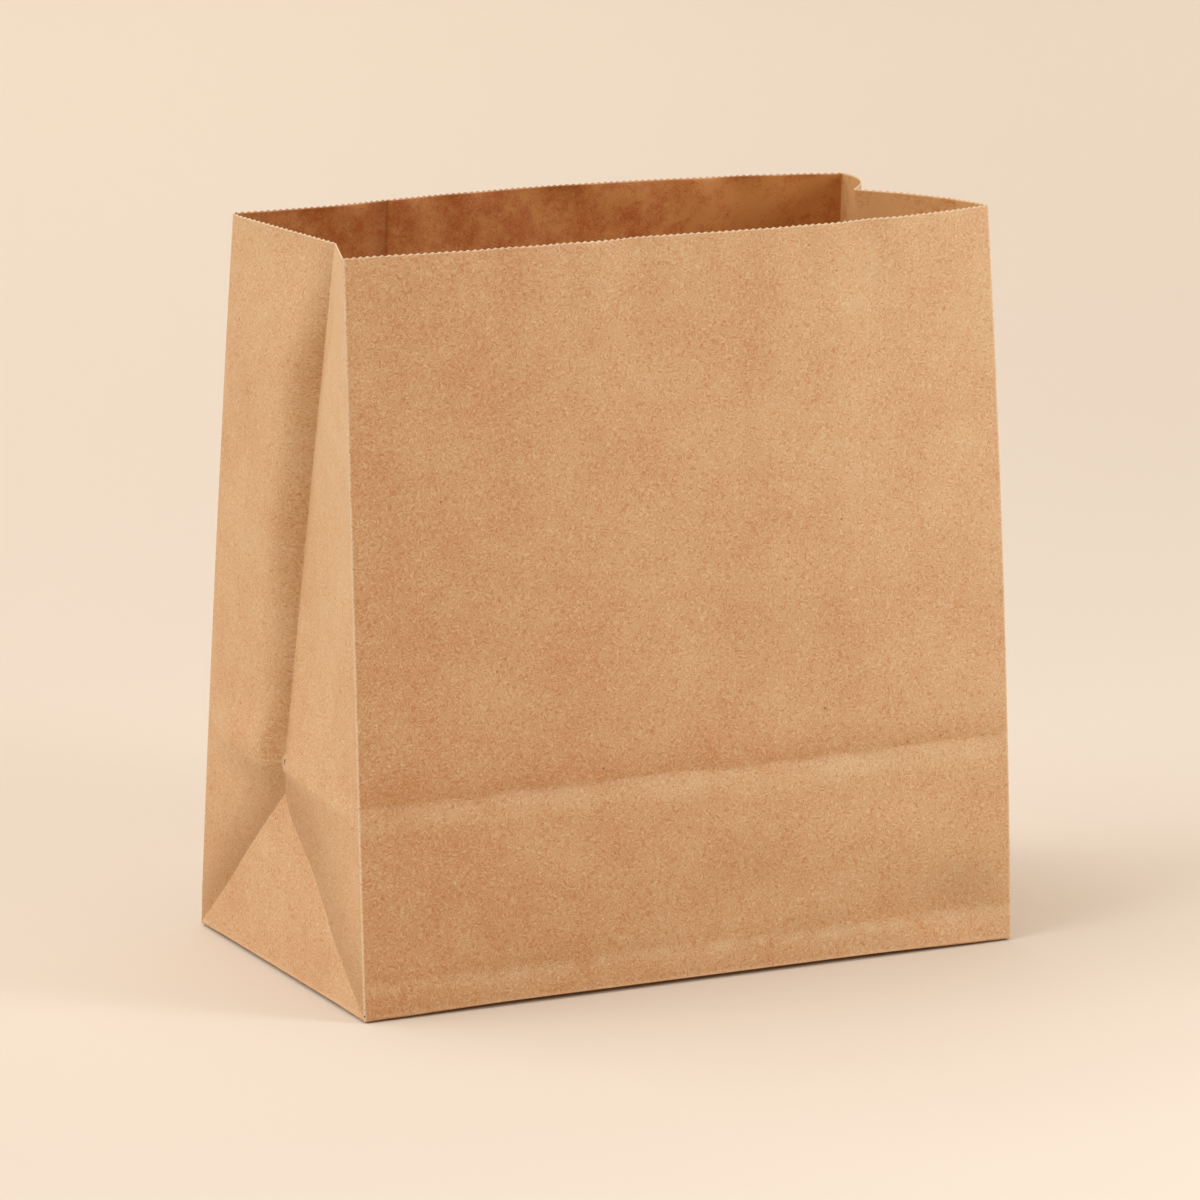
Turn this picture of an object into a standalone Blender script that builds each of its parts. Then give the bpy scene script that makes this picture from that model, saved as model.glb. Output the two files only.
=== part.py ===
"""Open paper bag with a folded block bottom, gusseted sides and a saw-cut rim.

The bag is one sheet of kraft paper, glued into a tube and folded shut below,
so it is one solid. Metres, +Z up, origin at the middle of the base, on the
ground. +X runs along the wide panels, the front panel faces -Y.
"""

import math
from collections import namedtuple

import bmesh
import bpy
from mathutils import Vector

# The sheet
WIDTH = 0.305            # front and back panels
DEPTH = 0.178            # side gussets
HEIGHT = 0.318           # paper from the bottom fold to the tips of the teeth
PLY = 0.00025            # one thickness of paper
SEAM_LAP = 0.022         # glued lap of the tube, down the back panel
SEAM_INSET = 0.079       # from the left back edge to the lap
BOTTOM_LAP = 0.024       # overlap of the two bottom flaps

# The saw-cut rim
TOOTH_PITCH = 0.0031
TOOTH_DEPTH = 0.0007
RIM_BAND = 0.004         # plain paper row under the teeth

# The folds
CREASE = DEPTH / 2       # height of the crease across the panels and gussets
CREASE_DENT = 0.0008     # it is pressed inwards
TRIANGLE = 0.077         # height of the gusset triangles that stand on the base
ROLL_RADIUS = 0.0013     # the bottom folds are rolled, not sharp
ROLL_BULGE = 0.0006      # the roll stands out past the wall above it
ROLL_STEPS = 4

# How far each top corner stands from the bottom corner under it (x, y)
RIM_SHIFT = {
    "front_left": (0.0031, 0.0212),
    "front_right": (0.0025, 0.0316),
    "back_right": (-0.0100, -0.0359),
    "back_left": (0.0091, -0.0256),
}
EDGE_BOW = {             # sideways bow of each corner fold, half way up
    "front_left": 0.0,
    "front_right": 0.0020,
    "back_right": 0.0,
    "back_left": -0.0009,
}

# Outward swell of the panels at the rim, as three waves across the panel
FRONT_SWELL = (0.0101, -0.0026, 0.0023)
BACK_SWELL = (0.0150, 0.0039, -0.0007)
SWELL_GROWTH = 1.3       # power of the height by which the swell grows

# The gussets are pushed in along their middle fold. "bend" is the part of each
# half that is curved before it runs straight to the fold, at the rim.
APEX_INSET = 0.003       # fold inset at the top of the gusset triangle
LEAST_BEND = 0.01        # straight halves, as at the crease
BEND_RISE = 0.5          # the bend is full from half way up the gusset
GUSSETS = {
    "left": {"rim_inset": 0.0197, "apex_slip": 0.0044, "rim_slip": -0.0048,
             "rim_dip": 0.0032, "bend_front": 0.15, "bend_back": 0.50},
    "right": {"rim_inset": 0.0235, "apex_slip": 0.0, "rim_slip": 0.0108,
              "rim_dip": 0.0, "bend_front": 0.95, "bend_back": 0.15},
}

# The grid that the sheet is laid out on
PANEL_COLUMNS = 16
GUSSET_CELLS = 5         # cells in half a gusset, and rows up to the triangle's top
UPPER_ROWS = 9
SEAM_MARGIN = 0.4        # part of a column that the lap's own columns keep clear

SHARP_FOLD = math.radians(12)

FLAP_EDGE = 0.003        # flaps start this far in from the bottom folds
BURIED = 0.0001          # how far glued plies run into each other
SHEET_LEVEL = 2 * PLY    # the sheet lies on two plies of flap

# One column of the sheet: its place function of (across, up), where it is across
# its panel, the weight of the glued lap there, and how far the lap stands out
Column = namedtuple("Column", "place across weight lift")

FOOT = {
    "front_left": (-WIDTH / 2, -DEPTH / 2),
    "front_right": (WIDTH / 2, -DEPTH / 2),
    "back_right": (WIDTH / 2, DEPTH / 2),
    "back_left": (-WIDTH / 2, DEPTH / 2),
}


def kraft_paper():
    """Plain brown kraft paper."""
    material = bpy.data.materials.new("kraft_paper")
    material.use_nodes = True
    shader = material.node_tree.nodes["Principled BSDF"]
    shader.inputs["Base Color"].default_value = (0.56, 0.34, 0.17, 1.0)
    shader.inputs["Roughness"].default_value = 0.82
    shader.inputs["Metallic"].default_value = 0.0
    return material


def corner_point(corner, up):
    """Point of an upright corner fold at paper height up."""
    foot_x, foot_y = FOOT[corner]
    shift_x, shift_y = RIM_SHIFT[corner]
    part = up / HEIGHT
    rise = math.sqrt(1 - (shift_x ** 2 + shift_y ** 2) / HEIGHT ** 2)
    bow = EDGE_BOW[corner] * 4 * part * (1 - part)
    return Vector((foot_x + shift_x * part + bow,
                   foot_y + shift_y * part,
                   SHEET_LEVEL + up * rise))


def crease_dent(up):
    """Depth of the cross crease, which fades out within a triangle's top of it."""
    return CREASE_DENT * max(0.0, 1 - abs(up - CREASE) / (CREASE - TRIANGLE))


def panel_point(left, right, swell, outward, across, up):
    """Point of a wide panel, across 0 to 1 from one corner fold to the other."""
    point = corner_point(left, up).lerp(corner_point(right, up), across)
    waves = sum(size * math.sin(math.pi * (n + 1) * across) for n, size in enumerate(swell))
    swell_now = waves * (up / HEIGHT) ** SWELL_GROWTH
    point.y += outward * (swell_now - crease_dent(up) * math.sin(math.pi * across))
    return point


def bent_ramp(part, bend):
    """0 to 1: a parabola up to bend, then a straight line that leaves it smoothly."""
    slope = 1 / (2 * bend - bend ** 2)
    if part < bend:
        return slope * part ** 2
    return slope * (2 * bend * part - bend ** 2)


def gusset_point(side, across, up):
    """Point of a gusset, across 0 to 1 from its front corner fold to its back one.

    At the bottom the paper is a triangle that stands on the bottom fold, with
    a wing on each side of it, and leans in to the triangle's top. Above the
    crease both halves run in to the upright middle fold.
    """
    shape = GUSSETS[side]
    inward = 1 if side == "left" else -1
    point = corner_point("front_" + side, up).lerp(corner_point("back_" + side, up), across)
    to_fold = 1 - abs(2 * across - 1)
    point.x += inward * crease_dent(up) * math.sin(math.pi * across)
    if up <= CREASE:
        push = min(to_fold, up / TRIANGLE)
        point.x += inward * APEX_INSET * push
        point.y += shape["apex_slip"] * push
        return point
    above = (up - CREASE) / (HEIGHT - CREASE)
    full_bend = shape["bend_front"] if across < 0.5 else shape["bend_back"]
    bend = max(LEAST_BEND, full_bend * min(1.0, above / BEND_RISE))
    push = bent_ramp(to_fold, bend)
    point.x += inward * (APEX_INSET + (shape["rim_inset"] - APEX_INSET) * above) * push
    point.y += (shape["apex_slip"] + (shape["rim_slip"] - shape["apex_slip"]) * above) * to_fold
    point.z -= shape["rim_dip"] * above ** 2 * to_fold
    return point


def seam_columns(place):
    """Across values of the glued lap: a ply starts on the outside and ends on the inside.

    The lap is two plies thick. It stands one ply out where the outer ply
    starts, and slopes until it stands one ply in where the inner ply ends.
    """
    end = 1 - SEAM_INSET / WIDTH
    start = end - SEAM_LAP / WIDTH
    step = PLY / WIDTH
    return [Column(place, start - step, 0.0, 0.0), Column(place, start, 1.0, PLY),
            Column(place, end, 1.0, 0.0), Column(place, end + step, 0.0, 0.0)]


def even_columns(place, count):
    """Columns at even steps across a panel, up to the next corner fold."""
    return [Column(place, n / count, 0.0, 0.0) for n in range(count)]


def around_columns():
    """The sheet's columns, once around the tube from the front left corner fold."""
    def front(across, up):
        return panel_point("front_left", "front_right", FRONT_SWELL, -1, across, up)

    def right(across, up):
        return gusset_point("right", across, up)

    def back(across, up):
        return panel_point("back_right", "back_left", BACK_SWELL, 1, across, up)

    def left(across, up):
        return gusset_point("left", 1 - across, up)

    seam = seam_columns(back)
    margin = SEAM_MARGIN / PANEL_COLUMNS
    plain_back = [column for column in even_columns(back, PANEL_COLUMNS)
                  if not seam[0].across - margin < column.across < seam[-1].across + margin]
    return (even_columns(front, PANEL_COLUMNS)
            + even_columns(right, 2 * GUSSET_CELLS)
            + sorted(plain_back + seam, key=lambda column: column.across)
            + even_columns(left, 2 * GUSSET_CELLS))


def rolled(point, turn):
    """Carries a point of the bottom fold around the roll, turn 0 level, 90 degrees below."""
    out = ROLL_RADIUS * (math.cos(turn) - 1) + ROLL_BULGE
    return Vector((point.x * (1 + out / (WIDTH / 2)),
                   point.y * (1 + out / (DEPTH / 2)),
                   SHEET_LEVEL + ROLL_RADIUS * (1 - math.sin(turn))))


def sheet_rows(columns):
    """Rows of points from the middle of the bottom roll up to the band under the rim."""
    wall_turn = -math.acos(1 - ROLL_BULGE / ROLL_RADIUS)
    wall_foot = ROLL_RADIUS * (1 - math.sin(wall_turn))
    rows = []
    for n in range(ROLL_STEPS):
        turn = math.pi / 2 + (wall_turn - math.pi / 2) * n / ROLL_STEPS
        rows.append([(rolled(column.place(column.across, 0.0), turn), 0.0) for column in columns])
    rise = TRIANGLE / GUSSET_CELLS
    heights = [wall_foot] + [rise * (n + 1) for n in range(GUSSET_CELLS)] + [CREASE]
    upper = HEIGHT - RIM_BAND - CREASE
    heights += [CREASE + upper * (n + 1) / UPPER_ROWS for n in range(UPPER_ROWS)]
    for up in heights:
        row = []
        lapped = 0.0 if up == wall_foot else 1.0
        for column in columns:
            point = column.place(column.across, up)
            point.y += column.lift * lapped
            row.append((point, column.weight * lapped))
        rows.append(row)
    return rows


def cell_end(column, following):
    """Across value at the far side of the cell between a column and the one that follows."""
    return following.across if following.place is column.place else 1.0


def rim_run(column, following):
    """The cut edge over one cell: points with their lap weight, a notch and a tip by turns."""
    end = cell_end(column, following)
    span = (column.place(end, HEIGHT) - column.place(column.across, HEIGHT)).length
    segments = max(1, 2 * round(span / TOOTH_PITCH))
    run = []
    for n in range(segments):
        share = n / segments
        cut = TOOTH_DEPTH if n % 2 == 0 else 0.0
        point = column.place(column.across + (end - column.across) * share, HEIGHT - cut)
        point.y += column.lift + (following.lift - column.lift) * share
        run.append((point, column.weight + (following.weight - column.weight) * share))
    return run


def build_sheet():
    """The walls and the floor as one open surface, facing out."""
    columns = around_columns()
    count = len(columns)
    sheet = bmesh.new()
    lap_weight = []

    def add_vertex(point, weight):
        lap_weight.append(weight)
        return sheet.verts.new(point)

    rows = [[add_vertex(*entry) for entry in row] for row in sheet_rows(columns)]
    triangle_rows = range(ROLL_STEPS, ROLL_STEPS + GUSSET_CELLS)
    pairs = [(c, (c + 1) % count) for c in range(count)]
    for r in range(len(rows) - 1):
        for c, d in pairs:
            low, low_next, high_next, high = rows[r][c], rows[r][d], rows[r + 1][d], rows[r + 1][c]
            middle = (columns[c].across + cell_end(columns[c], columns[d])) / 2
            if r in triangle_rows and middle > 0.5:
                # the gusset's diagonal fold on this half runs the other way
                sheet.faces.new([low, low_next, high])
                sheet.faces.new([low_next, high_next, high])
            else:
                sheet.faces.new([low, low_next, high_next])
                sheet.faces.new([low, high_next, high])

    # the floor, between the rolled folds
    sheet.faces.new(list(reversed(rows[0])))

    # the rim: every cell ends in its own run of teeth
    top = rows[-1]
    runs = [[add_vertex(*entry) for entry in rim_run(columns[c], columns[d])] for c, d in pairs]
    for c, d in pairs:
        sheet.faces.new([top[c], top[d], runs[d][0]] + list(reversed(runs[c])))

    mesh = bpy.data.meshes.new("paper_bag")
    sheet.to_mesh(mesh)
    sheet.free()
    mesh.shade_smooth()
    mesh.set_sharp_from_angle(angle=SHARP_FOLD)
    return mesh, lap_weight


def flat_plate(name, outline, low, high, collection):
    """A flat plate with the given outline, from height low to height high, as a mesh."""
    curve = bpy.data.curves.new(name + "_outline", "CURVE")
    curve.dimensions = "2D"
    curve.fill_mode = "BOTH"
    curve.extrude = (high - low) / 2
    spline = curve.splines.new("POLY")
    spline.points.add(len(outline) - 1)
    for point, (x, y) in zip(spline.points, outline):
        point.co = (x, y, 0.0, 1.0)
    spline.use_cyclic_u = True
    drawing = bpy.data.objects.new(name + "_outline", curve)
    collection.objects.link(drawing)
    drawing.location.z = (low + high) / 2
    bpy.context.view_layer.update()
    depsgraph = bpy.context.evaluated_depsgraph_get()
    solid = bpy.data.meshes.new_from_object(drawing.evaluated_get(depsgraph))
    welded = bmesh.new()
    welded.from_mesh(solid)
    bmesh.ops.remove_doubles(welded, verts=welded.verts, dist=BURIED / 10)
    bmesh.ops.recalc_face_normals(welded, faces=welded.faces)
    welded.to_mesh(solid)
    welded.free()
    plate = bpy.data.objects.new(name, solid)
    plate.matrix_world = drawing.matrix_world.copy()
    collection.objects.link(plate)
    bpy.data.objects.remove(drawing)
    plate.hide_render = True
    plate.display_type = "WIRE"
    return plate


def flap_outline(toward):
    """A bottom flap: its ends are folded at 45 degrees from the bag's corners.

    toward is 1 for the front flap, which runs to +Y, and -1 for the back flap.
    """
    start = -DEPTH / 2 + FLAP_EDGE
    end = BOTTOM_LAP / 2
    wide = WIDTH / 2 - 2 * FLAP_EDGE
    narrow = wide - (end - start)
    outline = [(-wide, start), (wide, start), (narrow, end), (-narrow, end)]
    return [(x, y * toward) for x, y in outline]


def end_ply_outline(side):
    """The gusset paper that lies flat inside the bag at one end, side -1 or 1."""
    outer = side * (WIDTH / 2 - FLAP_EDGE)
    inner = side * (WIDTH / 2 - DEPTH / 2 - BOTTOM_LAP / 2)
    half = DEPTH / 2 - FLAP_EDGE
    return [(outer, -half), (inner, -half), (inner, half), (outer, half)]


def main():
    for thing in list(bpy.data.objects):
        bpy.data.objects.remove(thing)
    bag_parts = bpy.data.collections.new("paper_bag")
    glued_plies = bpy.data.collections.new("glued_plies")
    bpy.context.scene.collection.children.link(bag_parts)
    bpy.context.scene.collection.children.link(glued_plies)

    mesh, lap_weight = build_sheet()
    mesh.materials.append(kraft_paper())
    bag = bpy.data.objects.new("paper_bag", mesh)
    bag_parts.objects.link(bag)
    lapped = bag.vertex_groups.new(name="lapped")
    for index, weight in enumerate(lap_weight):
        if weight > 0:
            lapped.add([index], weight, "REPLACE")

    wall = bag.modifiers.new("wall", "SOLIDIFY")
    wall.thickness = 2 * PLY
    wall.thickness_vertex_group = 0.5
    wall.vertex_group = lapped.name
    wall.offset = -1
    wall.use_even_offset = True

    floor_top = SHEET_LEVEL + PLY
    plies = {
        "front_flap": (flap_outline(1), PLY, SHEET_LEVEL + BURIED / 2),
        "back_flap": (flap_outline(-1), 0.0, SHEET_LEVEL + BURIED),
        "left_end_ply": (end_ply_outline(-1), floor_top - BURIED, floor_top + PLY),
        "right_end_ply": (end_ply_outline(1), floor_top - BURIED, floor_top + PLY),
    }
    for name, (outline, low, high) in plies.items():
        join = bag.modifiers.new(name, "BOOLEAN")
        join.operation = "UNION"
        join.solver = "EXACT"
        join.object = flat_plate(name, outline, low, high, glued_plies)


main()
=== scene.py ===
import math

import bpy
import numpy as np
from mathutils import Matrix, Vector


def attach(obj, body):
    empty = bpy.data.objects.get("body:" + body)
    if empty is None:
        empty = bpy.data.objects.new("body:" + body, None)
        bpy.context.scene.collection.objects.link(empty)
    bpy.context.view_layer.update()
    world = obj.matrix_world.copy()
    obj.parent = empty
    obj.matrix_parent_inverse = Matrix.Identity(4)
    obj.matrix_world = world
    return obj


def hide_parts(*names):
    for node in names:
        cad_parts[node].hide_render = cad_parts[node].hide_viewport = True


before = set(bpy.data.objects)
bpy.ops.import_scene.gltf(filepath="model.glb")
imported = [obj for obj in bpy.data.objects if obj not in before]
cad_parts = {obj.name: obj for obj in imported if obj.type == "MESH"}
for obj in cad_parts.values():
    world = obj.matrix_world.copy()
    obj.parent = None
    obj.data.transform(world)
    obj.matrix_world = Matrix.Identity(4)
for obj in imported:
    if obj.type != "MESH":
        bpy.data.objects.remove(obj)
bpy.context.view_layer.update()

paper = {
    "width": 0.305,             # wide panels
    "depth": 0.178,             # gussets
    "height": 0.318,            # bottom fold to the tips of the teeth
    "ply": 0.00025,
    "pile": 1.08,               # height of each sheet in a pile, in plies
    "crease": 0.089,            # cross crease, half the depth up
    "triangle": 0.0735,         # top of the gusset triangles
    "flap": 0.101,              # paper below the bottom fold
    "panelTeeth": 98,           # saw teeth along the rim, and cells across, of a wide panel
    "gussetTeeth": 46,
    "toothDepth": 0.0007,
    "foldRound": 0.0005,        # paper to each side of a fold that bends with it
    "foldSoft": 0.35,           # how far a corner fold is drawn towards its neighbours
    "rollRadius": 0.0011,       # rolled bottom folds
    "rollBulge": 0.0004,
    "rollStart": 0.020,         # full bulge this far from a corner
    "rollCorner": (0.35, 0.012),    # part of the radius at a corner, and where it is whole
    "rollPaper": 1.6,           # paper over the roll, in its radii
    "rollSteps": 7,
    "lapStart": 0.669,          # glued lap, as part of the back panel
    "lapEnd": 0.741,
    "creaseRows": (0.0006, 0.0015, 0.004, 0.008),   # closer rows to each side of the cross crease
    "triangleStart": 0.003,     # first row this far out along the triangle
    "upperSteps": 32,           # rows from the cross crease to the rim's own rows
    "rimRows": (0.0025, 0.0012),    # this far below the tips
    "flapSteps": 9,
    "flapRows": (0.012, 0.03),  # closer rows beside the fold, as part of the flap
    "flapLeast": 0.0006,        # paper below the fold right at a corner
    "flapClimb": (-0.0150, -0.0125),    # y at which the front flap climbs on the back flap
    "gussetClimb": 0.006,       # the gusset paper is on the flaps this far in
    "gussetNarrow": 0.018,      # part of its width that it stays clear of the wide panels
    "seed": 11,
}

pileStep = paper["pile"] * paper["ply"]

# where each top corner stands from its bottom corner, and the bow between them
corners = {
    "frontLeft": {"foot": (-1, -1), "shift": (0.0031, 0.0212), "bow": 0.0},
    "frontRight": {"foot": (1, -1), "shift": (0.0025, 0.0316), "bow": 0.0020},
    "backRight": {"foot": (1, 1), "shift": (-0.0100, -0.0359), "bow": 0.0},
    "backLeft": {"foot": (-1, 1), "shift": (0.0091, -0.0256), "bow": -0.0009},
}
swells = {
    "front": (0.0101, -0.0026, 0.0023),
    "back": (0.0150, 0.0039, -0.0007),
    "growth": 1.3,
}
# a gusset's middle fold is inset and slips along the bag, at the apex (the cross crease)
# and at the rim, and a half is curved over the part "bend" of its way to that fold
gussets = {
    "left": {"rimInset": 0.0197, "apexSlip": 0.0169, "rimSlip": -0.0048, "rimDip": 0.0040,
             "bendFront": 0.04, "bendBack": 0.15, "inward": 1},
    "right": {"rimInset": 0.0235, "apexSlip": 0.0, "rimSlip": 0.0108, "rimDip": 0.0,
              "bendFront": 0.95, "bendBack": 0.95, "inward": -1},
    "apexInset": 0.0090,
    "bendLeast": 0.01,
    "bendRise": 0.5,            # full bend from this part of the way to the rim
    "creaseSag": (0.0046, -0.0038),   # cross crease lower at the corners, less at the middle fold
    "foldRoll": 0.92,           # how much of the back half turns only close to its folds
    "foldPower": (6.5, 11.0),   # on the diagonal folds, and on the middle fold
    "foldChange": (-0.020, 0.040),  # from one to the other, from the cross crease
    "foldReach": 0.3,           # least part of the half that the roll reaches over
    "foldFade": (1.0, 0.72),    # the roll dies away between these parts of the way to the rim
}

relief = {                      # metres, outward, with reaches below and above a crease
    "crease": 0.0024,
    "creaseReach": (0.0095, 0.0060),
    "creaseSharp": 0.0003,
    "sharpReach": (0.0016, 0.0016),
    "creaseWander": 0.0009,
    "hem": 0.0014,
    "hemHeight": 0.0135,
    "hemTilt": 0.0012,          # higher on the right
    "hemReach": (0.0040, 0.0060),
    "hemWander": 0.5,           # of the cross crease's wander
    "uneven": 0.22,             # of both creases' depth
    "rimWave": 0.0017,
    "rimLean": 0.10,            # how much the waves change with the height
    "rimReach": 0.055,
    "rimCalm": (-0.002, 0.004),
    "slow": 0.0009,
    "fine": 0.35,               # finer waviness, of the slow one
    "footCalm": 0.03,           # the waviness starts this far up
    "cornerCalm": 0.012,        # no relief at the corner folds, and all of it from here
    # step of the seed and wavelength
    "waves": {"rim": (1, 0.036), "slow": (2, 0.11), "fine": (3, 0.040),
              "uneven": (4, 0.06), "crease": (5, 0.024), "hem": (6, 0.03)},
    # soft dents of the front panel: x and height of the middle, reach in each, depth
    "dents": ((0.128, 0.018, 0.024, 0.014, 0.0042), (0.098, 0.052, 0.020, 0.016, -0.0024),
              (-0.128, 0.030, 0.018, 0.013, 0.0016), (0.020, 0.034, 0.030, 0.012, 0.0012)),
    "dentCalm": 0.012,
    "ridge": 0.0030,            # cross crease of a gusset, outward
    "ridgeReach": (0.013, 0.009),
    "ridgeStart": 0.010,        # full height this far from the corner fold
    "ridgeEnd": 0.008,          # and this far from the middle fold
    "softRidge": 1.5,           # on the back half: part of the ridge, place above the crease, reach
    "softPlace": 0.006,
    "softReach": 0.012,
    "softStart": 0.045,
    "gussetWave": 0.08,
    "gussetCalm": (0.010, 0.015, 0.04),     # beside the corner fold, the middle fold, the rim
    "edgeLift": (0.0008, 0.0019, 0.0011),   # bottom edges off the ground: corners, panels, gussets
    "liftRise": (0.075, 0.030),             # full lift this far from a corner: panels, gussets
    "liftReach": 0.025,                     # the lifted paper comes down over this
}


def smooth(edge0, edge1, value):
    # 3t^2 - 2t^3 between the two edges
    t = np.clip((value - edge0) / (edge1 - edge0), 0.0, 1.0)
    return t * t * (3 - 2 * t)


def ripple(x, y, seed, size, count=7):
    # sum of cosines with random directions and phases, wavelength near size, peak near 1
    draw = np.random.default_rng(seed)
    total = np.zeros(np.broadcast(x, y).shape)
    for _ in range(count):
        turn = draw.uniform(0, math.pi)
        wave = 2 * math.pi / (size * draw.uniform(0.7, 1.6))
        total += np.cos(wave * (x * math.cos(turn) + y * math.sin(turn)) + draw.uniform(0, 2 * math.pi))
    return total / math.sqrt(count)


def fading(gap, reach):
    # 1 on a crease, dying away exponentially over its reaches below and above
    return np.exp(-np.abs(gap) / np.where(gap > 0, reach[1], reach[0]))


def cornerPoint(name, up):
    # straight line from the foot to the leaning top corner, with a parabola of bow
    corner = corners[name]
    part = up / paper["height"]
    lean = math.hypot(*corner["shift"]) / paper["height"]
    x = corner["foot"][0] * paper["width"] / 2 + corner["shift"][0] * part
    x = x + corner["bow"] * 4 * part * (1 - part)
    y = corner["foot"][1] * paper["depth"] / 2 + corner["shift"][1] * part
    z = 2 * paper["ply"] + up * math.sqrt(1 - lean * lean)
    return np.stack(np.broadcast_arrays(x, y, z), axis=-1)


def between(first, second, across, up):
    # straight across from one corner fold to the other
    a = cornerPoint(first, up)
    b = cornerPoint(second, up)
    t = np.asarray(across)[..., None]
    return a + (b - a) * t


def bentRamp(part, bend):
    # parabola up to bend, then the straight line that leaves it smoothly, 0 to 1
    slope = 1 / (2 * bend - bend * bend)
    return np.where(part < bend, slope * part * part, slope * (2 * bend * part - bend * bend))


def panelRelief(across, up, seed, dented):
    # outward relief of a wide panel: cross crease, hem crease, rim waves, slow waviness
    # and bell-shaped dents
    x = across * paper["width"]
    toRim = paper["height"] - up
    inside = smooth(0, relief["cornerCalm"], np.minimum(x, paper["width"] - x))

    def wave(name, y):
        step, size = relief["waves"][name]
        return ripple(x, y, seed + step, size)

    uneven = 1 + relief["uneven"] * wave("uneven", 0 * up)
    gap = up - paper["crease"] - relief["creaseWander"] * wave("crease", 0 * up)
    crease = -relief["crease"] * uneven * fading(gap, relief["creaseReach"])
    crease = crease - relief["creaseSharp"] * fading(gap, relief["sharpReach"])
    hemGap = up - relief["hemHeight"] - relief["hemTilt"] * (across - 0.5)
    hemGap = hemGap - relief["hemWander"] * relief["creaseWander"] * wave("hem", 0 * up)
    hem = -relief["hem"] * uneven * fading(hemGap, relief["hemReach"])
    rimWave = relief["rimWave"] * wave("rim", up * relief["rimLean"])
    rimWave = rimWave * np.exp(-toRim / relief["rimReach"]) * smooth(*relief["rimCalm"], toRim)
    slow = relief["slow"] * (wave("slow", up) + relief["fine"] * wave("fine", up))
    total = crease + hem + rimWave + slow * smooth(0.0, relief["footCalm"], up)
    if dented:
        for middle, height, reachX, reachUp, depth in relief["dents"]:
            away = ((x - paper["width"] / 2 - middle) / reachX) ** 2 + ((up - height) / reachUp) ** 2
            total = total - depth * np.exp(-away) * smooth(0.0, relief["dentCalm"], up)
    return inside * total


def diagonalDistance(across, up):
    # distance above a gusset's diagonal fold, measured square to it, below it negative
    half = paper["depth"] / 2
    slope = math.atan2(paper["triangle"], half)
    return up * math.cos(slope) - half * (1 - np.abs(2 * across - 1)) * math.sin(slope)


def gussetRelief(across, up, seed):
    # outward relief of a gusset: a ridge along the cross crease, sharp on the front half
    # and soft on the back half, and slow waviness
    toMiddle = paper["depth"] / 2 * np.abs(2 * across - 1)
    fromCorner = paper["depth"] / 2 - toMiddle
    sag = gussets["creaseSag"][0] + gussets["creaseSag"][1] * fromCorner * 2 / paper["depth"]
    gap = up - paper["crease"] + sag
    sharpRidge = fading(gap, relief["ridgeReach"]) * smooth(0.0, relief["ridgeStart"], fromCorner)
    softRidge = relief["softRidge"] * np.exp(-((gap - relief["softPlace"]) / relief["softReach"]) ** 2)
    softRidge = softRidge * smooth(0.0, relief["softStart"], fromCorner)
    ridge = relief["ridge"] * np.where(across < 0.5, sharpRidge, softRidge)
    ridge = ridge * smooth(0.0, relief["ridgeEnd"], toMiddle)
    nearCorner, nearMiddle, nearRim = relief["gussetCalm"]
    calm = smooth(0.0, relief["footCalm"], up) * smooth(0.0, nearRim, paper["height"] - up)
    calm = calm * smooth(0.0, nearCorner, fromCorner) * smooth(0.0, nearMiddle, toMiddle)
    return ridge + relief["slow"] * ripple(across * paper["depth"], up, seed, relief["gussetWave"]) * calm


def panelPoint(first, second, swell, outward, seed):
    # point of a wide panel: three waves of swell that grow with height, then the relief
    def place(across, up):
        point = between(first, second, across, up)
        waves = sum(size * np.sin(math.pi * (n + 1) * across) for n, size in enumerate(swell))
        point[..., 1] += outward * waves * (up / paper["height"]) ** swells["growth"]
        point[..., 1] += outward * panelRelief(across, up, seed, outward < 0)
        return point
    return place


def gussetPoint(side, seed):
    # point of a gusset, across 0 at its front fold: pushed in towards its middle fold, flat
    # up to the cross crease and bent above it, then the relief
    shape = gussets[side]

    def place(across, up):
        front, back = ("frontLeft", "backLeft") if side == "left" else ("frontRight", "backRight")
        point = between(front, back, across, up)
        toFold = 1 - np.abs(2 * across - 1)
        above = np.clip((up - paper["crease"]) / (paper["height"] - paper["crease"]), 0, 1)
        depth = np.minimum(1, up / paper["triangle"])
        flat = np.minimum(toFold, depth)
        fullBend = np.where(across < 0.5, shape["bendFront"], shape["bendBack"])
        bend = np.maximum(gussets["bendLeast"], fullBend * np.minimum(1, above / gussets["bendRise"]))
        raised = up > paper["crease"]
        push = np.where(raised, bentRamp(toFold, bend), flat)
        # the back half stays out and turns in only beside its middle and diagonal folds
        half = paper["depth"] / 2
        away = np.clip(np.minimum(diagonalDistance(across, up), half * (1 - toFold)), 0, half)
        wingPower, middlePower = gussets["foldPower"]
        change = smooth(*gussets["foldChange"], up - paper["crease"])
        power = wingPower + (middlePower - wingPower) * change
        reach = half * np.maximum(gussets["foldReach"], depth)
        turned = depth * (1 - np.minimum(1, away / reach)) ** power
        rolled = gussets["foldRoll"] * (across > 0.5) * smooth(*gussets["foldFade"], above)
        push = push + (turned - push) * rolled
        inset = gussets["apexInset"] + (shape["rimInset"] - gussets["apexInset"]) * above
        slip = shape["apexSlip"] + (shape["rimSlip"] - shape["apexSlip"]) * above
        point[..., 0] += shape["inward"] * (inset * push - gussetRelief(across, up, seed))
        point[..., 1] += slip * np.where(raised, toFold, flat)
        point[..., 2] -= shape["rimDip"] * above ** 2 * toFold
        return point
    return place


print("kraft bag: paper laid out")


def panelColumns(cells):
    # even cells over a wide panel, with two closer columns beside each corner fold
    near = np.array([paper["foldRound"], 3 * paper["foldRound"]]) / paper["width"]
    return np.concatenate([[0], near, np.arange(1, cells) / cells, 1 - near[::-1]])


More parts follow.
